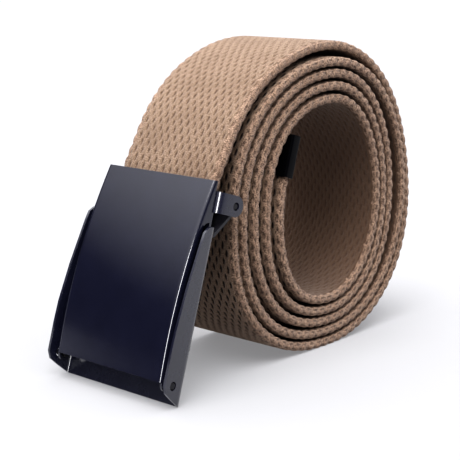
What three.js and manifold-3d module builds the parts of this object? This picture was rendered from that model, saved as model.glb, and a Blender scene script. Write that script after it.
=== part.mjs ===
// Canvas web belt, rolled up and standing on its outer turn, with a flip-top clasp buckle.
// Millimetres, +Z up. The coil's axis lies along Y and the buckle hangs at the -X side.
// The origin is on the floor, in the middle of the flat that the coil rests on.

import * as THREE from 'three';
import { mergeVertices } from 'three/addons/utils/BufferGeometryUtils.js';
import Module from 'manifold-3d';

const wasm = await Module();
wasm.setup();

// The web: one woven band.
const webWidth = 38;
const webThickness = 3;
const webEdgeRound = 0.9;

// The coil: size of its innermost turn, and how far its weight presses the underside flat.
const eyeRadius = 25;
const restFlat = 0.25;
const coilStepsPerTurn = 44;

// Distance from the coil's centre to the middle of the web on the innermost turn, as shares of
// eyeRadius; its top and the next turn's left side are wider by the room of the straight tip.
// Fullness is for the quarters beside the left: 2 is an ellipse, more is squarer.
const innerTurn = {
  left: 1.000, bottom: 1.212, right: 1.011, top: 1.207, fullBelow: 2.30, fullAbove: 2.40,
};

// Steps outwards from each turn to the next, as shares of webThickness. The last row is the
// turn that the route would go on to if it didn't leave for the buckle.
const turnSteps = [
  { left: 0.850, bottom: 1.20, right: 1.20, top: 1.32, fullBelow: 2.35, fullAbove: 2.35 },
  { left: 1.84, bottom: 1.17, right: 1.20, top: 1.28, fullBelow: 2.35, fullAbove: 2.30 },
  { left: 1.71, bottom: 1.17, right: 2.51, top: 1.20, fullBelow: 2.40, fullAbove: 2.25 },
  { left: 1.43, bottom: 1.19, right: 1.12, top: 1.63, fullBelow: 2.40, fullAbove: 2.10 },
  { left: 2.90, bottom: 2.40, right: 1.12, top: 1.20, fullBelow: 2.00, fullAbove: 2.00 },
];

// The outermost turn slips sideways by these shares of the web's width.
const sideSlips = [
  { turn: 0.00, slip: 0 },
  { turn: 4.25, slip: 0 },
  { turn: 4.50, slip: 0.040 },
  { turn: 4.65, slip: 0.060 },
  { turn: 4.80, slip: 0.035 },
  { turn: 4.95, slip: 0 },
];

// The innermost turn's far edge leans this share of the web's width into the eye, on the
// right side between these turns.
const eyeLean = 0.09;
const eyeLeanFrom = 0.10;
const eyeLeanTo = 0.90;

// Angles above the coil's left side, in degrees: where the tip's straight run begins, and
// where the web leaves the coil for the buckle.
const tipAngle = 22.6;
const buckleAngle = 27;

// The metal tip on the free end, and how much thinner it presses the web.
const tipLength = 12.5;
const tipWall = 0.5;
const tipCornerRound = 0.8;
const tipPress = 0.7;

// Clearances.
const fitGap = 0.3;
const webGap = 0.4;
const webSideRoom = 3.75;
const coverSideGap = 1.1;
const tailRoom = 1.5;

// The buckle: sheet metal, leaning on the floor on its lower edge.
const buckleLean = 17.4;
const footBeyondCoil = 20.1;
const sheet = 0.8;
const frameHeight = 61.2;
const wallHeight = 51;
const wallProud = 1.05;
const bendInside = 1;
const wallFlare = 0.9;
const tongueMargin = 2.2;

// Outline of a side wall: how high, as a share of wallHeight, and how deep, of wallDepth.
const wallOutline = [
  { up: 1.000, out: 0.230 },
  { up: 0.990, out: 0.370 },
  { up: 0.961, out: 0.520 },
  { up: 0.904, out: 0.590 },
  { up: 0.824, out: 0.665 },
  { up: 0.751, out: 0.735 },
  { up: 0.639, out: 0.840 },
  { up: 0.412, out: 0.983 },
  { up: 0.298, out: 1.000 },
  { up: 0.114, out: 0.990 },
  { up: 0.069, out: 0.865 },
  { up: 0.043, out: 0.600 },
];

// The ears that carry the clamp, bent back from the top of the plate.
const earHeight = 6.1;
const earBend = 2.4;
const clampPinRadius = 0.9;

// The cover.
const coverOverhang = 2.8;
const coverDepth = 8;
const coverBow = 2.4;
const coverSteps = 14;
const coverEdgeRound = 1.3;
const flangeDepth = 2.1;
const deepFlangeLength = 12;
const deepFlangeFillet = 3.2;
const hingeUp = 5.8;
const hingeBehindFace = 2.8;
const coverAboveHinge = 0.3;
const hingeRadius = 1;
const lugRadius = 2.1;
const rivetReach = 0.8;
const pinShort = 0.2;

// The clamp lever behind the plate.
const leverSheet = 0.9;
const barrelRadius = 2.2;
const toothReach = 0.6;
const flapSlant = 40.3;
const webGrip = 8.3;

const halfWeb = webWidth / 2;
const turnAtTip = -tipAngle / 360;
const turnAtBuckle = turnSteps.length - buckleAngle / 360;
const tipRoom = 0.6 * tipLength ** 2 / eyeRadius;
const lean = THREE.MathUtils.degToRad(buckleLean);
const innerWidth = webWidth + 2 * webSideRoom;
const frameWidth = innerWidth + 2 * sheet;
const coverWidth = innerWidth - 2 * coverSideGap;
const wallDepth = coverDepth + wallProud;
const earMiddle = frameHeight - earHeight / 2;
const clampPinBack = webGap + webThickness + fitGap + toothReach + barrelRadius;
const coverLow = hingeUp + coverAboveHinge;
const coverTop = frameHeight + coverOverhang;
const coverTopDepth = 2 * sheet + webGap + fitGap;
const lipEnd = sheet + tailRoom;
const hingeOut = coverDepth - hingeBehindFace;

const metalFinish = { color: 0x1d1f30, roughness: 0.32, metalness: 0.85 };
const materials = {
  web: new THREE.MeshStandardMaterial({ color: 0xa98c72, roughness: 0.95, metalness: 0 }),
  frame: new THREE.MeshStandardMaterial(metalFinish),
  cover: new THREE.MeshStandardMaterial({ ...metalFinish, roughness: 0.25 }),
  lever: new THREE.MeshStandardMaterial(metalFinish),
  pin: new THREE.MeshStandardMaterial({ color: 0x3a3c48, roughness: 0.4, metalness: 0.9 }),
  tip: new THREE.MeshStandardMaterial({ color: 0x101014, roughness: 0.3, metalness: 0.8 }),
};

// Solids.

function toSolid(geometry) {
  const bare = geometry.clone();
  bare.deleteAttribute('normal');
  bare.deleteAttribute('uv');
  const merged = mergeVertices(bare, 1e-4);
  const vertProperties = new Float32Array(merged.attributes.position.array);
  const triVerts = new Uint32Array(merged.index.array);
  return new wasm.Manifold(new wasm.Mesh({ numProp: 3, vertProperties, triVerts }));
}

function toGeometry(solid) {
  const mesh = solid.getMesh();
  const geometry = new THREE.BufferGeometry();
  geometry.setAttribute('position', new THREE.BufferAttribute(mesh.vertProperties, 3));
  geometry.setIndex(new THREE.BufferAttribute(mesh.triVerts, 1));
  geometry.computeVertexNormals();
  return geometry;
}

// Outline drawn in X and Z, carried across a width that is centred on Y.
function acrossWidth(shape, width, middle = 0) {
  const options = { depth: width, bevelEnabled: false, curveSegments: 6 };
  const geometry = new THREE.ExtrudeGeometry(shape, options);
  geometry.rotateX(Math.PI / 2);
  geometry.translate(0, middle + width / 2, 0);
  return geometry;
}

// Outline drawn in X and Y, raised along Z from one height to another.
function upright(shape, low, high, steps = 1) {
  const options = { depth: high - low, steps, bevelEnabled: false, curveSegments: 4 };
  return new THREE.ExtrudeGeometry(shape, options).translate(0, 0, low);
}

function disc(x, z, radius, sides = 16) {
  const shape = new THREE.Shape();
  for (let i = 0; i < sides; i += 1) {
    const angle = ((i + 0.5) / sides) * 2 * Math.PI;
    const point = [x + radius * Math.cos(angle), z + radius * Math.sin(angle)];
    if (i === 0) shape.moveTo(...point);
    else shape.lineTo(...point);
  }
  shape.closePath();
  return shape;
}

function block(x0, x1, width, z0, z1) {
  const box = new THREE.BoxGeometry(x1 - x0, width, z1 - z0);
  return box.translate((x0 + x1) / 2, 0, (z0 + z1) / 2);
}

// U-shaped sheet section: the web of the U has its outer face at x = 0 and its legs point
// towards the side given by the sign, each spread outwards by the flare at its end.
function channelSection(width, depth, innerRound, side, flare = 0) {
  const half = width / 2;
  const outerRound = innerRound + sheet;
  const shape = new THREE.Shape();
  const corner = (x, y, cx, cy) => shape.quadraticCurveTo(side * cx, cy, side * x, y);
  shape.moveTo(side * depth, -half - flare);
  shape.lineTo(side * outerRound, -half);
  corner(0, -half + outerRound, 0, -half);
  shape.lineTo(0, half - outerRound);
  corner(outerRound, half, 0, half);
  shape.lineTo(side * depth, half + flare);
  shape.lineTo(side * depth, half - sheet + flare);
  shape.lineTo(side * (sheet + innerRound), half - sheet);
  corner(sheet, half - sheet - innerRound, sheet, half - sheet);
  shape.lineTo(side * sheet, -half + sheet + innerRound);
  corner(sheet + innerRound, -half + sheet, sheet, -half + sheet);
  shape.lineTo(side * depth, -half + sheet - flare);
  shape.closePath();
  return shape;
}

function smooth(share) {
  return share * share * (3 - 2 * share);
}

// The web's route, in X and Z.

function power(value, fullness) {
  return Math.sign(value) * Math.abs(value) ** (2 / fullness);
}

// Sizes of each turn, from its left side around to the next.
const coilTurns = [{
  left: innerTurn.left * eyeRadius,
  bottom: innerTurn.bottom * eyeRadius,
  right: innerTurn.right * eyeRadius,
  top: innerTurn.top * eyeRadius + tipRoom,
  fullBelow: innerTurn.fullBelow,
  fullAbove: innerTurn.fullAbove,
}];
for (const step of turnSteps) {
  const inside = coilTurns[coilTurns.length - 1];
  const room = coilTurns.length === 1 ? tipRoom : 0;
  coilTurns.push({
    left: inside.left + step.left * webThickness + room,
    bottom: inside.bottom + step.bottom * webThickness,
    right: inside.right + step.right * webThickness,
    top: inside.top + step.top * webThickness,
    fullBelow: step.fullBelow,
    fullAbove: step.fullAbove,
  });
}

const outermost = coilTurns[coilTurns.length - 1];
const lowest = coilTurns[coilTurns.length - 2];
const coilCentreHeight = lowest.bottom + webThickness / 2 - restFlat;
const buckleFoot = -(outermost.left + footBeyondCoil);

// Half width and half height of the roll where the route has made this many turns from the
// left, going down first.
function reach(turn) {
  const blend = (from, to, share) => THREE.MathUtils.lerp(from, to, smooth(share));
  const sideTurn = Math.max(0, Math.floor(turn));
  const side = coilTurns[sideTurn];
  const sideShare = 2 * Math.max(0, turn - sideTurn);
  const across = sideShare < 1
    ? blend(side.left, side.right, sideShare)
    : blend(side.right, coilTurns[sideTurn + 1].left, sideShare - 1);
  const lowTurn = Math.max(0, Math.floor(turn - 0.25));
  const low = coilTurns[lowTurn];
  const lowShare = 2 * Math.max(0, turn - 0.25 - lowTurn);
  const upward = lowShare < 1
    ? blend(low.bottom, low.top, lowShare)
    : blend(low.top, coilTurns[lowTurn + 1].bottom, lowShare - 1);
  return { across, upward };
}

function coilPoint(turn) {
  const row = coilTurns[Math.max(0, Math.floor(turn))];
  const share = turn - Math.floor(turn);
  let fullness = 2;
  if (turn > 0 && share < 0.25) fullness = row.fullBelow;
  if (turn > 0 && share > 0.75) fullness = row.fullAbove;
  const angle = Math.PI + turn * 2 * Math.PI;
  const size = reach(turn);
  const x = size.across * power(Math.cos(angle), fullness);
  const z = coilCentreHeight + size.upward * power(Math.sin(angle), fullness);
  return new THREE.Vector3(x, 0, z);
}

// A point of the buckle's own frame: up the plate, and back from its rear face.
function bucklePoint(back, up) {
  const x = buckleFoot + up * Math.sin(lean) + back * Math.cos(lean);
  const z = up * Math.cos(lean) - back * Math.sin(lean);
  return new THREE.Vector3(x, 0, z);
}

function makeRoute() {
  const points = [];
  const count = Math.ceil((turnAtBuckle - turnAtTip) * 2 * coilStepsPerTurn);
  for (let i = 0; i <= count; i += 1) {
    points.push(coilPoint(THREE.MathUtils.lerp(turnAtTip, turnAtBuckle, i / count)));
  }
  const coil = new THREE.CatmullRomCurve3(points, false, 'centripetal');
  coil.arcLengthDivisions = 2 * count;
  const tipDirection = coil.getTangent(0);
  const tipEnd = points[0].clone().addScaledVector(tipDirection, -tipLength);
  const webBack = webGap + webThickness / 2;
  const entry = bucklePoint(webBack, frameHeight);
  const webEnd = bucklePoint(webBack, frameHeight - webGrip);
  const leave = points[count];
  const pull = leave.distanceTo(entry) / 3;
  const route = new THREE.CurvePath();
  route.add(new THREE.LineCurve3(tipEnd, points[0]));
  route.add(coil);
  route.add(new THREE.CubicBezierCurve3(
    leave,
    leave.clone().addScaledVector(coil.getTangent(1), pull),
    bucklePoint(webBack, frameHeight + pull),
    entry,
  ));
  route.add(new THREE.LineCurve3(entry, webEnd));
  return { route, coil, tipEnd, tipDirection };
}

const { route, coil, tipEnd, tipDirection } = makeRoute();
const webLength = route.getLength();
const coilLength = coil.getLength();

function turnAt(distance) {
  return turnAtTip + ((distance - tipLength) / coilLength) * (turnAtBuckle - turnAtTip);
}

function sideSlipAt(distance) {
  const turn = turnAt(distance);
  for (let i = 1; i < sideSlips.length; i += 1) {
    const from = sideSlips[i - 1];
    const to = sideSlips[i];
    if (turn >= from.turn && turn <= to.turn) {
      const share = (turn - from.turn) / (to.turn - from.turn);
      return webWidth * THREE.MathUtils.lerp(from.slip, to.slip, smooth(share));
    }
  }
  return 0;
}

function eyeLeanAt(distance) {
  const share = (turnAt(distance) - eyeLeanFrom) / (eyeLeanTo - eyeLeanFrom);
  return share > 0 && share < 1 ? eyeLean * smooth(1 - Math.abs(2 * share - 1)) : 0;
}

// Straight stock is extruded along Z and each of its sections is then set on the route.
function makeWeb() {
  const halfThick = webThickness / 2;
  const section = new THREE.Shape();
  section.moveTo(-halfWeb + webEdgeRound, -halfThick);
  section.lineTo(halfWeb - webEdgeRound, -halfThick);
  section.lineTo(halfWeb, -halfThick + webEdgeRound);
  section.lineTo(halfWeb, halfThick - webEdgeRound);
  section.lineTo(halfWeb - webEdgeRound, halfThick);
  section.lineTo(-halfWeb + webEdgeRound, halfThick);
  section.lineTo(-halfWeb, halfThick - webEdgeRound);
  section.lineTo(-halfWeb, -halfThick + webEdgeRound);
  section.closePath();
  const steps = Math.round((turnAtBuckle - turnAtTip) * coilStepsPerTurn) + 8;
  const stock = new THREE.ExtrudeGeometry(section, { depth: 1, steps, bevelEnabled: false });
  const tipPressed = 1 - tipPress / webThickness;
  const position = stock.attributes.position;
  for (let i = 0; i < position.count; i += 1) {
    const share = THREE.MathUtils.clamp(position.getZ(i), 0, 1);
    const distance = share * webLength;
    const middle = route.getPoint(share);
    const tangent = route.getTangent(share);
    const pressed = distance < tipLength + fitGap ? tipPressed : 1;
    const thick = position.getY(i) * pressed;
    const leaned = eyeLeanAt(distance) * (position.getX(i) + halfWeb);
    const x = middle.x - tangent.z * thick - leaned;
    const z = Math.max(0, middle.z + tangent.x * thick);
    position.setXYZ(i, x, position.getX(i) + sideSlipAt(distance), z);
  }
  return stock;
}

// The tip: a pressed metal sleeve, closed at the end and along both edges of the web.
function makeTip() {
  const roundedBar = (width, thick, low, high, round) => {
    const shape = new THREE.Shape();
    const halfThick = thick / 2;
    const half = width / 2;
    shape.moveTo(-halfThick + round, -half);
    shape.lineTo(halfThick - round, -half);
    shape.quadraticCurveTo(halfThick, -half, halfThick, -half + round);
    shape.lineTo(halfThick, half - round);
    shape.quadraticCurveTo(halfThick, half, halfThick - round, half);
    shape.lineTo(-halfThick + round, half);
    shape.quadraticCurveTo(-halfThick, half, -halfThick, half - round);
    shape.lineTo(-halfThick, -half + round);
    shape.quadraticCurveTo(-halfThick, -half, -halfThick + round, -half);
    return toSolid(upright(shape, low, high));
  };
  const pocketThick = webThickness - tipPress + 2 * fitGap;
  const pocketWidth = webWidth + 2 * fitGap;
  const outerWidth = pocketWidth + 2 * tipWall;
  const outerThick = pocketThick + 2 * tipWall;
  const outer = roundedBar(outerWidth, outerThick, 0, tipLength + tipWall, tipCornerRound);
  const pocket = roundedBar(pocketWidth, pocketThick, -1, tipLength, tipCornerRound / 2);
  const geometry = toGeometry(outer.subtract(pocket));
  geometry.translate(0, 0, -tipLength + fitGap);
  geometry.rotateY(Math.atan2(-tipDirection.x, -tipDirection.z));
  return geometry.translate(tipEnd.x, 0, tipEnd.z);
}

// The buckle, in its own frame: X back from the plate's rear face, Z up the plate.

function wallProfile() {
  const shape = new THREE.Shape();
  shape.moveTo(0, 0);
  shape.lineTo(0, wallHeight);
  for (const row of wallOutline) {
    shape.lineTo(-row.out * wallDepth, row.up * wallHeight);
  }
  shape.lineTo(-sheet, 0);
  shape.closePath();
  return shape;
}

function earProfile(low, high) {
  const middle = (low + high) / 2;
  const radius = (high - low) / 2;
  const shape = new THREE.Shape();
  shape.moveTo(-sheet - 1, low);
  shape.lineTo(clampPinBack, low);
  shape.absarc(clampPinBack, middle, radius, -Math.PI / 2, Math.PI / 2, false);
  shape.lineTo(-sheet - 1, high);
  shape.closePath();
  return shape;
}

function makeFrame() {
  const walls = channelSection(frameWidth, wallDepth, bendInside, -1, wallFlare);
  const tray = toSolid(upright(walls, 0, wallHeight))
    .intersect(toSolid(acrossWidth(wallProfile(), frameWidth + 2 * wallFlare + 2)));
  const earLow = frameHeight - earHeight;
  const earSection = channelSection(frameWidth, clampPinBack + earHeight, earBend, 1);
  const ears = toSolid(upright(earSection, earLow, frameHeight).translate(-sheet, 0, 0))
    .intersect(toSolid(acrossWidth(earProfile(earLow, frameHeight), frameWidth + 2)));
  const tongueWidth = frameWidth - 2 * tongueMargin;
  const tongue = toSolid(block(-sheet, 0, tongueWidth, wallHeight - 1, frameHeight));
  const clampHole = disc(clampPinBack, earMiddle, clampPinRadius + fitGap);
  const hingeHole = disc(-hingeOut, hingeUp, hingeRadius + fitGap);
  const frame = tray
    .add(tongue)
    .add(ears)
    .subtract(toSolid(acrossWidth(clampHole, frameWidth + 2)))
    .subtract(toSolid(acrossWidth(hingeHole, frameWidth + 2 * wallFlare + 2)));
  return toGeometry(frame);
}

// How far the cover's outer face stands in front of the plate's rear face.
function coverFace(up) {
  const share = (up - coverLow) / (coverTop - coverLow);
  return THREE.MathUtils.lerp(coverDepth, coverTopDepth, share) + coverBow * 4 * share * (1 - share);
}

function coverProfile() {
  const deepLow = coverTop - deepFlangeLength;
  const beyond = -(coverDepth + coverBow + 2);
  const deepEdge = -(sheet + fitGap);
  const shape = new THREE.Shape();
  shape.moveTo(beyond, coverTop + 1);
  shape.lineTo(deepEdge, coverTop + 1);
  shape.lineTo(deepEdge, deepLow);
  const filletEdge = deepLow - deepFlangeFillet;
  const filletOut = flangeDepth - coverFace(filletEdge);
  shape.quadraticCurveTo(filletOut, deepLow, filletOut, filletEdge);
  const lugTop = hingeUp + 2 * lugRadius;
  for (let step = 1; step <= coverSteps; step += 1) {
    const up = THREE.MathUtils.lerp(filletEdge, lugTop, step / coverSteps);
    shape.lineTo(flangeDepth - coverFace(up), up);
  }
  shape.lineTo(lugRadius - hingeOut, hingeUp);
  shape.absarc(-hingeOut, hingeUp, lugRadius, 0, Math.PI, true);
  shape.lineTo(-hingeOut - lugRadius, coverLow);
  shape.lineTo(beyond, coverLow);
  shape.closePath();
  return shape;
}

function makeCover() {
  const lugLow = hingeUp - lugRadius;
  const section = channelSection(coverWidth, coverDepth + coverBow, coverEdgeRound - sheet, 1);
  const stock = upright(section, lugLow, coverTop, coverSteps);
  const position = stock.attributes.position;
  for (let i = 0; i < position.count; i += 1) {
    position.setX(i, position.getX(i) - coverFace(Math.max(position.getZ(i), coverLow)));
  }
  const betweenLugs = block(-wallDepth, 0, coverWidth - 2 * sheet, lugLow - sheet, coverLow);
  const lip = block(-coverDepth + sheet / 2, -lipEnd, coverWidth - sheet, coverLow, coverLow + sheet);
  const rivetHole = acrossWidth(disc(-hingeOut, hingeUp, hingeRadius + fitGap), frameWidth);
  const cover = toSolid(stock)
    .intersect(toSolid(acrossWidth(coverProfile(), coverWidth + 2)))
    .subtract(toSolid(betweenLugs))
    .add(toSolid(lip))
    .subtract(toSolid(rivetHole));
  return toGeometry(cover);
}

// Short rivets carry the cover, one through each side wall.
function makeHingeRivet(side) {
  const wallOut = wallFlare * (hingeOut / wallDepth);
  const length = 2 * sheet + coverSideGap + wallOut + rivetReach - pinShort;
  const middle = side * (frameWidth / 2 + wallOut - pinShort - length / 2);
  return acrossWidth(disc(-hingeOut, hingeUp, hingeRadius), length, middle);
}

function makeClampPin() {
  return acrossWidth(disc(clampPinBack, earMiddle, clampPinRadius), frameWidth - 2 * pinShort);
}

function makeLever() {
  const slant = THREE.MathUtils.degToRad(flapSlant);
  const along = new THREE.Vector2(-Math.sin(slant), -Math.cos(slant));
  const outward = new THREE.Vector2(Math.cos(slant), -Math.sin(slant));
  const pin = new THREE.Vector2(clampPinBack, earMiddle);
  const fromPin = (back, up) => pin.clone().add(new THREE.Vector2(back, up));
  const outerStart = pin.clone().addScaledVector(outward, barrelRadius);
  const innerStart = outerStart.clone().addScaledVector(outward, -leverSheet);
  const flapLength = (innerStart.x - fitGap) / Math.sin(slant);
  const outerEnd = outerStart.clone().addScaledVector(along, flapLength);
  const innerEnd = innerStart.clone().addScaledVector(along, flapLength);
  const flap = new THREE.Shape([outerStart, outerEnd, innerEnd, innerStart]);
  const tooth = new THREE.Shape([
    fromPin(-0.6 * barrelRadius, 0.5 * barrelRadius),
    fromPin(-barrelRadius - toothReach, -0.55 * barrelRadius),
    fromPin(-0.4 * barrelRadius, -0.8 * barrelRadius),
  ]);
  const leverWidth = innerWidth - 2 * fitGap;
  const pinHole = disc(pin.x, pin.y, clampPinRadius + fitGap);
  const lever = toSolid(acrossWidth(disc(pin.x, pin.y, barrelRadius), leverWidth))
    .add(toSolid(acrossWidth(flap, leverWidth)))
    .add(toSolid(acrossWidth(tooth, webWidth)))
    .subtract(toSolid(acrossWidth(pinHole, frameWidth)));
  return toGeometry(lever);
}

// The assembly.

function piece(name, geometry, material) {
  const mesh = new THREE.Mesh(geometry, material);
  mesh.name = name;
  return mesh;
}

const belt = new THREE.Group();
belt.add(piece('web_strap', makeWeb(), materials.web));
belt.add(piece('belt_tip', makeTip(), materials.tip));

const buckle = new THREE.Group();
buckle.position.set(buckleFoot, 0, 0);
buckle.rotation.y = lean;
buckle.add(piece('buckle_frame', makeFrame(), materials.frame));
buckle.add(piece('buckle_cover', makeCover(), materials.cover));
buckle.add(piece('clamp_lever', makeLever(), materials.lever));
buckle.add(piece('clamp_pin', makeClampPin(), materials.pin));
buckle.add(piece('cover_rivet_near', makeHingeRivet(-1), materials.pin));
buckle.add(piece('cover_rivet_far', makeHingeRivet(1), materials.pin));
belt.add(buckle);

export default belt;
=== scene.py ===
import math
import bmesh
import bpy
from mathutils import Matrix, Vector


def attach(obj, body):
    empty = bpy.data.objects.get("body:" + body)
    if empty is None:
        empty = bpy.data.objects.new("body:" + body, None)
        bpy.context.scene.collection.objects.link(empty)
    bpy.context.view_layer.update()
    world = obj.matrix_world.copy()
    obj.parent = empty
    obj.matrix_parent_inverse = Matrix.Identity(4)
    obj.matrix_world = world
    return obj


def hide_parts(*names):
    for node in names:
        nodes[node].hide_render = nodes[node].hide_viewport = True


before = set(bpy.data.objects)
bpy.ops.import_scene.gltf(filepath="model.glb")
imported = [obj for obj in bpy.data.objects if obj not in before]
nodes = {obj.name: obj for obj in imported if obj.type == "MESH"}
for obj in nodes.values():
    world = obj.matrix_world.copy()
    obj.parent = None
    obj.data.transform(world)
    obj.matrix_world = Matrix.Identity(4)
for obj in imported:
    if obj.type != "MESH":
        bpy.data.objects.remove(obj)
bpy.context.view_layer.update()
mm = 0.001
fullTurn = 2 * math.pi


# Camera: the photograph's angle, a little above the belt and to the left of its open side.

camera = {
    "position": (-0.3178, -0.2574, 0.1231),
    "target": (-0.0276, 0.0, 0.0396),
    "lens": 99.7,
    "sensor": 36.0,
    "nearest": 0.01,
    "farthest": 50,
}


def makeCamera(settings):
    data = bpy.data.cameras.new("camera")
    data.lens = settings["lens"]
    data.sensor_width = settings["sensor"]
    data.clip_start = settings["nearest"]
    data.clip_end = settings["farthest"]
    obj = bpy.data.objects.new("camera", data)
    obj.location = settings["position"]
    aim = Vector(settings["target"]) - Vector(settings["position"])
    obj.rotation_euler = aim.to_track_quat("-Z", "Y").to_euler()
    bpy.context.scene.collection.objects.link(obj)
    bpy.context.scene.camera = obj


makeCamera(camera)
bpy.context.scene.view_settings.view_transform = "Standard"
bpy.context.scene.view_settings.look = "High Contrast"
print("camera placed")


# Studio: a grey floor that the lights turn white, and a broad sun from above, a little to the
# left. The sky is bright overhead and along the horizon, with a dark band between. A softbox
# lights the buckle alone, and a fill for the floor alone lightens the shadow on it.

studio = {
    "floorSize": 30.0,
    "floorColour": (0.232, 0.232, 0.238, 1),
    "floorRoughness": 0.9,
    "floorSpecular": 0.1,
    "sky": [
        {"at": 0.03, "colour": (0.45, 0.45, 0.47, 1)},
        {"at": 0.09, "colour": (0.02, 0.02, 0.03, 1)},
        {"at": 0.28, "colour": (0.03, 0.03, 0.05, 1)},
        {"at": 0.70, "colour": (1.85, 1.85, 1.88, 1)},
    ],
    "sun": {"from": (-0.38, -0.16, 0.91), "strength": 3.1, "spread": 0.80},
    "floorFill": {"from": (0.0, 0.0, 1.0), "strength": 2.7},
    "softboxes": [
        {"name": "strip", "from": (-0.72, -0.46, 0.20), "wide": 0.18, "high": 0.50,
         "power": 4.8, "lights": ("cover", "frame", "lever")},
    ],
}


def newMaterial(name):
    material = bpy.data.materials.new(name)
    material.use_nodes = True
    tree = material.node_tree
    tree.nodes.clear()
    output = tree.nodes.new("ShaderNodeOutputMaterial")
    shader = tree.nodes.new("ShaderNodeBsdfPrincipled")
    tree.links.new(shader.outputs["BSDF"], output.inputs["Surface"])
    return material, tree, shader


def placeLight(data, place):
    light = bpy.data.objects.new(data.name, data)
    light.location = place
    light.rotation_euler = (-light.location).to_track_quat("-Z", "Y").to_euler()
    bpy.context.scene.collection.objects.link(light)
    return light


def makeStudio(settings):
    bm = bmesh.new()
    bmesh.ops.create_grid(bm, x_segments=1, y_segments=1, size=settings["floorSize"] / 2)
    mesh = bpy.data.meshes.new("floor")
    bm.to_mesh(mesh)
    bm.free()
    floor = bpy.data.objects.new("floor", mesh)
    bpy.context.scene.collection.objects.link(floor)
    material, tree, shader = newMaterial("floorWhite")
    shader.inputs["Base Color"].default_value = settings["floorColour"]
    shader.inputs["Roughness"].default_value = settings["floorRoughness"]
    shader.inputs["Specular IOR Level"].default_value = settings["floorSpecular"]
    mesh.materials.append(material)

    world = bpy.data.worlds.new("studioSky")
    world.use_nodes = True
    bpy.context.scene.world = world
    tree = world.node_tree
    tree.nodes.clear()
    output = tree.nodes.new("ShaderNodeOutputWorld")
    sky = tree.nodes.new("ShaderNodeBackground")
    ramp = tree.nodes.new("ShaderNodeValToRGB")
    stops = ramp.color_ramp.elements
    while len(stops) < len(settings["sky"]):
        stops.new(0.5)
    for i, row in enumerate(settings["sky"]):
        stops[i].position = row["at"]
        stops[i].color = row["colour"]
    split = tree.nodes.new("ShaderNodeSeparateXYZ")
    coords = tree.nodes.new("ShaderNodeTexCoord")
    tree.links.new(coords.outputs["Generated"], split.inputs[0])
    tree.links.new(split.outputs["Z"], ramp.inputs["Fac"])
    tree.links.new(ramp.outputs["Color"], sky.inputs["Color"])
    tree.links.new(sky.outputs["Background"], output.inputs["Surface"])

    sun = bpy.data.lights.new("sun", "SUN")
    sun.energy = settings["sun"]["strength"]
    sun.angle = settings["sun"]["spread"]
    placeLight(sun, settings["sun"]["from"])
    fill = bpy.data.lights.new("floorFill", "SUN")
    fill.energy = settings["floorFill"]["strength"]
    linking = placeLight(fill, settings["floorFill"]["from"]).light_linking
    linking.receiver_collection = bpy.data.collections.new("floorOnly")
    linking.receiver_collection.objects.link(floor)
    linking.blocker_collection = linking.receiver_collection
    lit = {}
    for row in settings["softboxes"]:
        box = bpy.data.lights.new(row["name"], "AREA")
        box.shape = "RECTANGLE"
        box.size = row["wide"]
        box.size_y = row["high"]
        box.energy = row["power"]
        lit[row["name"]] = bpy.data.collections.new(row["name"] + "Lit")
        placeLight(box, row["from"]).light_linking.receiver_collection = lit[row["name"]]
    return lit


softboxLit = makeStudio(studio)
print("studio lit")


# Small helpers for materials.

def calc(tree, operation, a, b=None):
    node = tree.nodes.new("ShaderNodeMath")
    node.operation = operation
    for socket, value in zip(node.inputs, (a, b)):
        if value is None:
            continue
        if isinstance(value, (int, float)):
            socket.default_value = value
        else:
            tree.links.new(value, socket)
    return node.outputs[0]


def mixColour(tree, factor, first, second):
    node = tree.nodes.new("ShaderNodeMix")
    node.data_type = "RGBA"
    sockets = node.inputs[0], node.inputs[6], node.inputs[7]
    for socket, value in zip(sockets, (factor, first, second)):
        if isinstance(value, (int, float, tuple)):
            socket.default_value = value
        else:
            tree.links.new(value, socket)
    return node.outputs[2]


def spread(tree, value, low, high):
    node = tree.nodes.new("ShaderNodeMapRange")
    node.interpolation_type = "SMOOTHSTEP"
    node.inputs["From Min"].default_value = low
    node.inputs["From Max"].default_value = high
    tree.links.new(value, node.inputs["Value"])
    return node.outputs["Result"]


def wave(tree, value):
    return calc(tree, "COSINE", calc(tree, "MULTIPLY", value, fullTurn))


def noise(tree, vector, scale, detail=2.0, roughness=0.5):
    node = tree.nodes.new("ShaderNodeTexNoise")
    node.inputs["Scale"].default_value = scale
    node.inputs["Detail"].default_value = detail
    node.inputs["Roughness"].default_value = roughness
    tree.links.new(vector, node.inputs["Vector"])
    return node.outputs["Fac"]


def addBump(tree, shader, height, strength, depth):
    bump = tree.nodes.new("ShaderNodeBump")
    bump.inputs["Strength"].default_value = strength
    bump.inputs["Distance"].default_value = depth
    tree.links.new(height, bump.inputs["Height"])
    tree.links.new(bump.outputs["Normal"], shader.inputs["Normal"])


# Canvas: lengthwise columns of plump slanting grains, with small pits between them. The pits and
# the grooves are darkened with painted shade, and the inner face with a further painted shade.
# The map "weave" counts columns across and millimetres along the web.

canvas = {
    "grain": 4.9,            # mm along the web, from one pit to the next in a column
    "yarn": (0.150, 0.096, 0.063, 1),
    "yarnPale": (0.340, 0.249, 0.183, 1),
    # painted shade: the colour of the grooves and hollows, where the bump is low
    "grooveShade": (0.115, 0.066, 0.040, 1),
    # painted shade: the near-black that fills the pits between the grains
    "pitShade": (0.016, 0.007, 0.004, 1),
    "paintedLightOnPits": 0.80,          # how far painted light lifts the pits' painted shade on the outermost turn's sunlit top
    # painted shade: the darker colour of the inner face, which lies inside the coil
    "inside": (0.080, 0.043, 0.025, 1),
    "pitted": 1.0,
    "plump": 0.45,           # height of the grains above the pits, in the bump
    "strands": 4.0,          # in each grain
    "speckle": 0.0,
    "innerFrom": 25.5,       # columns from here on lie on the inner face
    "bump": 0.9,
    "bumpDepth": 0.0004,
}
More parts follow.
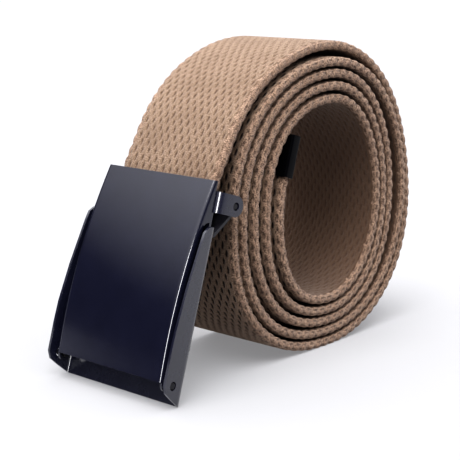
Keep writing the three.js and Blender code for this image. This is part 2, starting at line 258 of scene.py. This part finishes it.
# The corded edges; they have no inner face, so it starts past their last column.
rope = dict(
    canvas, grain=3.7, strands=3.0, speckle=0.75, innerFrom=99, plump=0.22, pitted=0.4,
    yarn=(0.18, 0.111, 0.074, 1), yarnPale=(0.49, 0.355, 0.265, 1),
    # painted shade: the cord's grooves and pits are darker still
    grooveShade=(0.055, 0.024, 0.013, 1), pitShade=(0.018, 0.006, 0.003, 1),
)
# What both share: the noises, and the pair of values between which each shade sets in.
fibre = {
    "wander": {"scale": 0.9, "detail": 3.0},
    "wanderReach": 0.4,
    "fuzz": {"scale": 3.0, "detail": 5.0, "roughness": 0.85},
    "fuzzHeight": 0.9,
    "strandHeight": 0.04,
    "grainHeight": 0.75,
    "pale": (0.41, 0.59),
    "blotch": {"scale": 0.10, "detail": 3.0},
    "blotched": (0.35, 0.85),
    "blotchReach": 0.4,
    "raised": (0.15, 0.85),
    "paintedInnerShade": 0.75,
    "innerPitFade": 0.88,
    "pitEdge": (0.20, 0.68),
    # painted light: from these turns on, the sunlit top of the outermost turn has its pits'
    # painted shade lifted
    "paintedLightTurns": (4.35, 4.65),
    "speck": {"scale": 2.1, "detail": 3.0, "roughness": 0.7},
    "specked": (0.51, 0.61),
    "roughness": 0.92,
    "specular": 0.15,
    "sheen": 0.15,
    "sheenRoughness": 0.6,
}


def makeCanvasMaterial(name, settings):
    material, tree, shader = newMaterial(name)
    uv = tree.nodes.new("ShaderNodeUVMap")
    uv.uv_map = "weave"
    spot = uv.outputs["UV"]
    split = tree.nodes.new("ShaderNodeSeparateXYZ")
    tree.links.new(spot, split.inputs[0])
    wander = calc(tree, "SUBTRACT", noise(tree, spot, **fibre["wander"]), 0.5)
    wander = calc(tree, "MULTIPLY", wander, fibre["wanderReach"])
    across = calc(tree, "ADD", split.outputs["X"], wander)
    along = calc(tree, "DIVIDE", split.outputs["Y"], settings["grain"])
    along = calc(tree, "ADD", along, wander)
    half = calc(tree, "MULTIPLY", across, 0.5)
    waves = calc(tree, "ADD", wave(tree, calc(tree, "ADD", along, half)),
                 wave(tree, calc(tree, "SUBTRACT", along, half)))
    pitShape = calc(tree, "DIVIDE", calc(tree, "ADD", waves, wave(tree, across)), 3.0)

    fuzz = noise(tree, spot, **fibre["fuzz"])
    fuzzHeight = calc(tree, "MULTIPLY", calc(tree, "SUBTRACT", fuzz, 0.5), fibre["fuzzHeight"])
    strand = calc(tree, "SINE", calc(tree, "MULTIPLY", along, fullTurn * settings["strands"]))
    pitHeight = calc(tree, "MULTIPLY", pitShape, settings["plump"])
    height = calc(tree, "SUBTRACT", fibre["grainHeight"], pitHeight)
    height = calc(tree, "ADD", height, fuzzHeight)
    height = calc(tree, "ADD", height, calc(tree, "MULTIPLY", strand, fibre["strandHeight"]))

    pale = spread(tree, fuzz, *fibre["pale"])
    cloth = mixColour(tree, pale, settings["yarn"], settings["yarnPale"])
    blotch = spread(tree, noise(tree, spot, **fibre["blotch"]), *fibre["blotched"])
    blotch = calc(tree, "MULTIPLY", blotch, fibre["blotchReach"])
    cloth = mixColour(tree, blotch, cloth, settings["yarn"])
    # Painted shade: where the bump is low, in the grooves and pits, the cloth takes the darker
    # groove colour.
    shade = mixColour(tree, spread(tree, height, *fibre["raised"]), settings["grooveShade"], cloth)
    # Painted shade: the inner face, inside the coil, is mixed towards the darker inside colour.
    inner = calc(tree, "GREATER_THAN", split.outputs["X"], settings["innerFrom"])
    paintedInnerShade = calc(tree, "MULTIPLY", inner, fibre["paintedInnerShade"])
    shade = mixColour(tree, paintedInnerShade, shade, settings["inside"])

    # Painted shade in the pits between the grains: near-black, and weaker on the inner face.
    innerPitFade = calc(tree, "MULTIPLY", inner, fibre["innerPitFade"])
    pitted = spread(tree, pitShape, *fibre["pitEdge"])
    pitted = calc(tree, "MULTIPLY", pitted, calc(tree, "SUBTRACT", 1.0, innerPitFade))
    # Painted light: on the sunlit top of the outermost turn, the pits' painted shade is lifted.
    paintedLightFrom, paintedLightTo = (distanceAt(turn) for turn in fibre["paintedLightTurns"])
    paintedLight = spread(tree, split.outputs["Y"], paintedLightFrom, paintedLightTo)
    paintedLight = calc(tree, "MULTIPLY", paintedLight, settings["paintedLightOnPits"])
    pitted = calc(tree, "MULTIPLY", pitted, calc(tree, "SUBTRACT", 1.0, paintedLight))
    pitted = calc(tree, "MULTIPLY", pitted, settings["pitted"])
    shade = mixColour(tree, pitted, shade, settings["pitShade"])
    if settings["speckle"]:
        specks = spread(tree, noise(tree, spot, **fibre["speck"]), *fibre["specked"])
        specks = calc(tree, "MULTIPLY", specks, settings["speckle"])
        shade = mixColour(tree, specks, shade, settings["pitShade"])

    tree.links.new(shade, shader.inputs["Base Color"])
    shader.inputs["Roughness"].default_value = fibre["roughness"]
    shader.inputs["Specular IOR Level"].default_value = fibre["specular"]
    shader.inputs["Sheen Weight"].default_value = fibre["sheen"]
    shader.inputs["Sheen Roughness"].default_value = fibre["sheenRoughness"]
    addBump(tree, shader, height, settings["bump"], settings["bumpDepth"])
    return material


# Metal finishes: deep blue-black enamel on the buckle, black on the tip.

finishes = {
    "coverGloss": {"colour": (0.007, 0.0075, 0.016), "roughness": 0.14, "coat": 0.7,
                   "grain": 0.02},
    "frameSatin": {"colour": (0.008, 0.0085, 0.018), "roughness": 0.22, "coat": 0.9,
                   "grain": 0.05},
    "leverSatin": {"colour": (0.010, 0.010, 0.014), "roughness": 0.30, "coat": 0.2,
                   "grain": 0.06},
    "tipBlack": {"colour": (0.002, 0.002, 0.003), "roughness": 0.15, "coat": 0.0,
                 "grain": 0.03, "specular": 0.12},
    "pinSteel": {"colour": (0.006, 0.006, 0.010), "roughness": 0.22, "coat": 0.0,
                 "grain": 0.08},
}
enamelLook = {
    "dark": 0.8,
    "light": 1.3,
    "wear": {"scale": 140.0, "detail": 4.0, "roughness": 0.6},
    "fine": {"scale": 900.0, "detail": 2.0, "roughness": 0.5},
    "specular": 0.5,
    "coatRoughness": 0.08,
    "bump": 0.08,
    "bumpDepth": 0.0002,
}


def makeEnamel(name, settings):
    material, tree, shader = newMaterial(name)
    coords = tree.nodes.new("ShaderNodeTexCoord")
    wear = noise(tree, coords.outputs["Object"], **enamelLook["wear"])
    dark, light = (tuple(enamelLook[kind] * part for part in settings["colour"]) + (1,)
                   for kind in ("dark", "light"))
    tree.links.new(mixColour(tree, wear, dark, light), shader.inputs["Base Color"])
    rough = calc(tree, "MULTIPLY", wear, settings["grain"] * 2)
    rough = calc(tree, "ADD", rough, settings["roughness"])
    tree.links.new(rough, shader.inputs["Roughness"])
    specular = settings.get("specular", enamelLook["specular"])
    shader.inputs["Specular IOR Level"].default_value = specular
    shader.inputs["Coat Weight"].default_value = settings["coat"]
    shader.inputs["Coat Roughness"].default_value = enamelLook["coatRoughness"]
    fine = noise(tree, coords.outputs["Object"], **enamelLook["fine"])
    addBump(tree, shader, fine, enamelLook["bump"], enamelLook["bumpDepth"])
    return material


enamel = {name: makeEnamel(name, settings) for name, settings in finishes.items()}
print("materials mixed")


# The web's route in X and Z, in millimetres, with the sizes of the solid model. Only eyeLean
# is a little more than there, so that no light shows beside the innermost turn.

web = {
    "width": 38.0,
    "thickness": 3.0,
    "eyeRadius": 25.0,
    "restFlat": 0.25,
    "turnAtTip": -22.6 / 360,
    "turnAtBuckle": 4.925,
    "eyeLean": 0.105,
    "eyeLeanFrom": 0.10,
    "eyeLeanTo": 0.90,
    "tipLength": 12.5,
    "tipPress": 0.7,
    "webGap": 0.4,
    "webGrip": 8.3,
    "frameHeight": 61.2,
    "buckleLean": math.radians(17.4),
    "footBeyondCoil": 20.1,
    "floorRoom": 0.05,
    "tipSteps": 12,
    "coilSteps": 2400,
    "curveSteps": 24,
    "gripSteps": 8,
}

# How far the web is moved across its width, as a share of it, at these turns.
slips = [(0.0, 0.0), (4.25, 0.0), (4.50, 0.040), (4.65, 0.060), (4.80, 0.035), (4.95, 0.0)]

# From the coil's centre to the middle of the innermost turn, as shares of eyeRadius, then the
# steps from each turn to the next, as shares of the thickness: left, bottom, right, top,
# fullness below the left, fullness above it. The straight tip's room is included.
innerTurn = (1.000, 1.212, 1.011, 1.357, 2.30, 2.40)
turnSteps = [
    (2.10, 1.20, 1.20, 1.32, 2.35, 2.35),
    (1.84, 1.17, 1.20, 1.28, 2.35, 2.30),
    (1.71, 1.17, 2.51, 1.20, 2.40, 2.25),
    (1.43, 1.19, 1.12, 1.63, 2.40, 2.10),
    (2.90, 2.40, 1.12, 1.20, 2.00, 2.00),
]


def smooth(share):
    return share * share * (3 - 2 * share)


def blend(start, end, share):
    return start + (end - start) * smooth(share)


def power(value, fullness):
    return math.copysign(abs(value) ** (2 / fullness), value)


def turnTable():
    rows = [[share * web["eyeRadius"] for share in innerTurn[:4]] + list(innerTurn[4:])]
    for step in turnSteps:
        inside = rows[-1]
        rows.append([inside[i] + step[i] * web["thickness"] for i in range(4)] + list(step[4:]))
    return rows


turns = turnTable()
coilHeight = turns[-2][1] + web["thickness"] / 2 - web["restFlat"]
buckleFoot = -(turns[-1][0] + web["footBeyondCoil"])


def reach(turn, phase, near, far):
    # Swings from one side's distance to the other side's and back once in a turn.
    whole = max(0, math.floor(turn - phase))
    share = 2 * max(0.0, turn - phase - whole)
    if share < 1:
        return blend(turns[whole][near], turns[whole][far], share)
    return blend(turns[whole][far], turns[whole + 1][near], share - 1)


def coilPoint(turn):
    across = reach(turn, 0, 0, 2)
    upward = reach(turn, 0.25, 1, 3)
    share = turn - math.floor(turn)
    fullness = 2
    if turn > 0 and share < 0.25:
        fullness = turns[math.floor(turn)][4]
    if turn > 0 and share > 0.75:
        fullness = turns[math.floor(turn)][5]
    angle = math.pi + turn * fullTurn
    x = across * power(math.cos(angle), fullness)
    z = coilHeight + upward * power(math.sin(angle), fullness)
    return Vector((x, z))


def bucklePoint(back, up):
    lean = web["buckleLean"]
    x = buckleFoot + up * math.sin(lean) + back * math.cos(lean)
    z = up * math.cos(lean) - back * math.sin(lean)
    return Vector((x, z))


def routePoints():
    steps = web["coilSteps"]
    span = web["turnAtBuckle"] - web["turnAtTip"]
    coil = [coilPoint(web["turnAtTip"] + span * i / steps) for i in range(steps + 1)]
    first = (coil[1] - coil[0]).normalized()
    last = (coil[-1] - coil[-2]).normalized()
    steps = web["tipSteps"]
    points = [coil[0] - first * web["tipLength"] * (1 - i / steps) for i in range(steps)]
    coilFrom = len(points)
    points += coil
    coilTo = len(points) - 1
    back = web["webGap"] + web["thickness"] / 2
    entry = bucklePoint(back, web["frameHeight"])
    pull = (entry - coil[-1]).length / 3
    hold = [coil[-1], coil[-1] + last * pull, bucklePoint(back, web["frameHeight"] + pull), entry]
    steps = web["curveSteps"]
    for i in range(1, steps + 1):
        t = i / steps
        points.append(hold[0] * (1 - t) ** 3 + hold[1] * 3 * t * (1 - t) ** 2
                      + hold[2] * 3 * t * t * (1 - t) + hold[3] * t ** 3)
    end = bucklePoint(back, web["frameHeight"] - web["webGrip"])
    steps = web["gripSteps"]
    points += [entry.lerp(end, i / steps) for i in range(1, steps + 1)]
    return points, coilFrom, coilTo


def measured(points):
    lengths = [0.0]
    for before, after in zip(points, points[1:]):
        lengths.append(lengths[-1] + (after - before).length)
    return lengths


routeXZ, coilFrom, coilTo = routePoints()
routeLength = measured(routeXZ)
webLength = routeLength[-1]


def turnAt(distance):
    share = (distance - routeLength[coilFrom]) / (routeLength[coilTo] - routeLength[coilFrom])
    return web["turnAtTip"] + share * (web["turnAtBuckle"] - web["turnAtTip"])


def distanceAt(turn):
    share = (turn - web["turnAtTip"]) / (web["turnAtBuckle"] - web["turnAtTip"])
    return routeLength[coilFrom] + share * (routeLength[coilTo] - routeLength[coilFrom])


def leanAt(distance):
    share = (turnAt(distance) - web["eyeLeanFrom"]) / (web["eyeLeanTo"] - web["eyeLeanFrom"])
    return web["eyeLean"] * smooth(1 - abs(2 * share - 1)) if 0 < share < 1 else 0.0


def slipAt(distance):
    turn = turnAt(distance)
    for (turnA, slipA), (turnB, slipB) in zip(slips, slips[1:]):
        if turnA <= turn <= turnB:
            return web["width"] * blend(slipA, slipB, (turn - turnA) / (turnB - turnA))
    return 0.0


def stations(start, end, count):
    found = []
    index = 0
    for i in range(count + 1):
        distance = start + (end - start) * i / count
        while index < len(routeXZ) - 2 and routeLength[index + 1] < distance:
            index += 1
        share = (distance - routeLength[index]) / (routeLength[index + 1] - routeLength[index])
        point = routeXZ[index].lerp(routeXZ[index + 1], share)
        before = routeXZ[max(0, index - 1)]
        after = routeXZ[min(len(routeXZ) - 1, index + 2)]
        tangent = (after - before).normalized()
        found.append((distance, point, tangent, slipAt(distance), leanAt(distance)))
    return found


# Straight stock is drawn out from one section, a millimetre a step, and each of its sections is
# then set on the route.

def bendStock(name, section, columns, start, end, count, shapeAt, material):
    bm = bmesh.new()
    ring = [bm.verts.new((0, y * mm, t * mm)) for y, t, column in section]
    face = bm.faces.new(ring)
    drawn = bmesh.ops.extrude_face_region(bm, geom=[face])
    moved = [item for item in drawn["geom"] if isinstance(item, bmesh.types.BMVert)]
    bmesh.ops.translate(bm, verts=moved, vec=(count * mm, 0, 0))
    longEdges = [edge for edge in bm.edges
                 if abs(edge.verts[0].co.x - edge.verts[1].co.x) > 0.5 * mm]
    bmesh.ops.subdivide_edges(bm, edges=longEdges, cuts=count - 1, use_grid_fill=True)
    places = stations(start, end, count)
    uvLayer = bm.loops.layers.uv.new("weave")

    # A vertex's index says which corner of the section it is, and which step it is on.
    nearest = {}
    for vert in bm.verts:
        key = (round(vert.co.y / mm, 2), round(vert.co.z / mm, 2))
        if key not in nearest:
            nearest[key] = min(range(len(section)), key=lambda i: math.dist(section[i][:2], key))
        vert.index = nearest[key] * (count + 1) + round(vert.co.x / mm)

    # The facets that close the section end on its last column instead of column 0.
    for facet in bm.faces:
        corners = [divmod(loop.vert.index, count + 1) for loop in facet.loops]
        wraps = max(corner[0] for corner in corners) - min(corner[0] for corner in corners) > 1
        for loop, (spot, step) in zip(facet.loops, corners):
            column = columns if spot == 0 and wraps else section[spot][2]
            loop[uvLayer].uv = (column, places[step][0])

    for vert in bm.verts:
        spot, step = divmod(vert.index, count + 1)
        distance, point, tangent, slip, leaned = places[step]
        y, t = shapeAt(distance, *section[spot][:2])
        x = point.x - tangent.y * t - leaned * (y + web["width"] / 2)
        z = max(web["floorRoom"], point.y + tangent.x * t)
        vert.co = (x * mm, (y + slip) * mm, z * mm)
    bmesh.ops.recalc_face_normals(bm, faces=bm.faces)
    if bm.calc_volume(signed=True) < 0:
        bmesh.ops.reverse_faces(bm, faces=bm.faces)
    for facet in bm.faces:
        facet.smooth = len(facet.verts) == 4
    mesh = bpy.data.meshes.new(name)
    bm.to_mesh(mesh)
    bm.free()
    mesh.materials.append(material)
    obj = bpy.data.objects.new(name, mesh)
    bpy.context.scene.collection.objects.link(obj)
    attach(obj, "belt")
    return obj


canvasFace = makeCanvasMaterial("canvasFace", canvas)
canvasEdge = makeCanvasMaterial("canvasEdge", rope)

relief = {
    "columns": 25,
    "pitDepth": 0.45,
    "pitSharpness": 1.3,
    "innerShare": 0.2,       # how deep the grains of the inner face are
    "bodyWidth": 35.0,
    "stepsInGrain": 6,
    "lengths": 2,            # pieces that the body is made in
    "ropeWidth": 2.8,
    "ropeThick": 3.0,
    "ropeFullness": 3.2,
    "ropeSides": 14,
    "ropeColumns": 7,
    "ropeLobe": 3.7,         # mm along the cord for each of its strands
    "ropeDepth": 0.25,
    "ropeFlatness": 0.8,
    "ropeStep": 0.5,
    "tipOverrun": 0.2,       # mm that the tip's press goes on past the sleeve
}


def thicknessAt(distance):
    if distance < web["tipLength"] + relief["tipOverrun"]:
        return 1 - web["tipPress"] / web["thickness"]
    return 1.0


def makeWeb():
    half = relief["bodyWidth"] / 2
    pitch = relief["bodyWidth"] / relief["columns"]
    crest = web["thickness"] / 2
    low = []
    for i in range(relief["columns"]):
        start = -half + i * pitch
        low += [(start, -crest, i), (start + pitch / 2, -crest, i + 0.5)]
    low.append((half, -crest, relief["columns"]))
    around = 2 * relief["columns"] + 1
    section = low + [(y, -t, around - column) for y, t, column in reversed(low)]

    def grained(distance, y, t):
        column = (y + half) / pitch
        if t > 0:
            column = around - column
        along = distance / canvas["grain"]
        phases = (along + column / 2, along - column / 2, column)
        pitShape = sum(math.cos(fullTurn * phase) for phase in phases) / 3
        deep = relief["pitDepth"] * max(0.0, pitShape) ** relief["pitSharpness"]
        if t > 0:
            deep *= relief["innerShare"]
        return y, math.copysign(abs(t) - deep, t) * thicknessAt(distance)

    step = canvas["grain"] / relief["stepsInGrain"]
    count = round(webLength / step / relief["lengths"])
    pieces = []
    for i in range(relief["lengths"]):
        start = i * count * step
        end = min(webLength, (i + 1) * count * step)
        pieces.append(bendStock(f"webBody{i + 1}", section, around + 1, start, end,
                                round((end - start) / step), grained, canvasFace))
    for name, side in (("webEdgeNear", -1), ("webEdgeFar", 1)):
        middle = side * (web["width"] - relief["ropeWidth"]) / 2
        ring = []
        for i in range(relief["ropeSides"]):
            angle = fullTurn * i / relief["ropeSides"]
            y = middle + relief["ropeWidth"] / 2 * power(math.cos(angle), relief["ropeFullness"])
            t = relief["ropeThick"] / 2 * power(math.sin(angle), relief["ropeFullness"])
            ring.append((y, t, relief["ropeColumns"] * i / relief["ropeSides"]))

        def lobed(distance, y, t, middle=middle, side=side):
            angle = math.atan2(t / relief["ropeThick"], (y - middle) / relief["ropeWidth"])
            twist = math.pi * distance / relief["ropeLobe"]
            lobe = abs(math.cos(angle / 2 - side * twist)) ** relief["ropeFlatness"]
            swell = 1 - relief["ropeDepth"] * (1 - lobe)
            return middle + (y - middle) * swell, t * swell * thicknessAt(distance)

        count = round(webLength / relief["ropeStep"])
        pieces.append(bendStock(name, ring, relief["ropeColumns"], 0.0, webLength, count,
                                lobed, canvasEdge))
    for piece in pieces:
        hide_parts("web_strap")


makeWeb()
print("web woven")


# The metal pieces keep the solids' shapes, with their edges broken and their bends smoothed.

metalPieces = [
    {"node": "buckle_cover", "name": "coverPlate", "body": "cover", "slot": "cover",
     "finish": "coverGloss", "edge": 0.25},
    {"node": "buckle_frame", "name": "framePlate", "body": "belt", "slot": "frame",
     "finish": "frameSatin", "edge": 0.18},
    {"node": "clamp_lever", "name": "leverFlap", "body": "clamp", "slot": "lever",
     "finish": "leverSatin", "edge": 0.15},
    {"node": "belt_tip", "name": "tipSleeve", "body": "belt", "slot": "tip",
     "finish": "tipBlack", "edge": 0.12},
    {"node": "clamp_pin", "name": "clampPin", "body": "belt", "slot": "pins",
     "finish": "pinSteel", "edge": 0.2},
    {"node": "cover_rivet_near", "name": "rivetNear", "body": "belt", "slot": "pins",
     "finish": "pinSteel", "edge": 0.2},
    {"node": "cover_rivet_far", "name": "rivetFar", "body": "belt", "slot": "pins",
     "finish": "pinSteel", "edge": 0.2},
]
metalWork = {
    "weld": 1e-6,
    "flatTo": math.radians(0.4),
    "sharpFrom": math.radians(32),
    "edgeSteps": 2,
}


def makeMetal(settings):
    bm = bmesh.new()
    bm.from_mesh(nodes[settings["node"]].data)
    bmesh.ops.remove_doubles(bm, verts=bm.verts, dist=metalWork["weld"])
    bmesh.ops.dissolve_limit(bm, angle_limit=metalWork["flatTo"], verts=bm.verts,
                             edges=bm.edges)
    mesh = bpy.data.meshes.new(settings["name"])
    for facet in bm.faces:
        facet.smooth = True
    bm.to_mesh(mesh)
    bm.free()
    mesh.materials.clear()
    mesh.materials.append(enamel[settings["finish"]])
    mesh.set_sharp_from_angle(angle=metalWork["sharpFrom"])
    obj = bpy.data.objects.new(settings["name"], mesh)
    bpy.context.scene.collection.objects.link(obj)
    bevel = obj.modifiers.new("brokenEdges", "BEVEL")
    bevel.width = settings["edge"] * mm
    bevel.segments = metalWork["edgeSteps"]
    bevel.limit_method = "ANGLE"
    bevel.angle_limit = metalWork["sharpFrom"]
    bevel.harden_normals = True
    for row in studio["softboxes"]:
        if settings["slot"] in row["lights"]:
            softboxLit[row["name"]].objects.link(obj)
    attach(obj, settings["body"])
    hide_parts(settings["node"])


for settings in metalPieces:
    makeMetal(settings)
print("metal pieces finished")
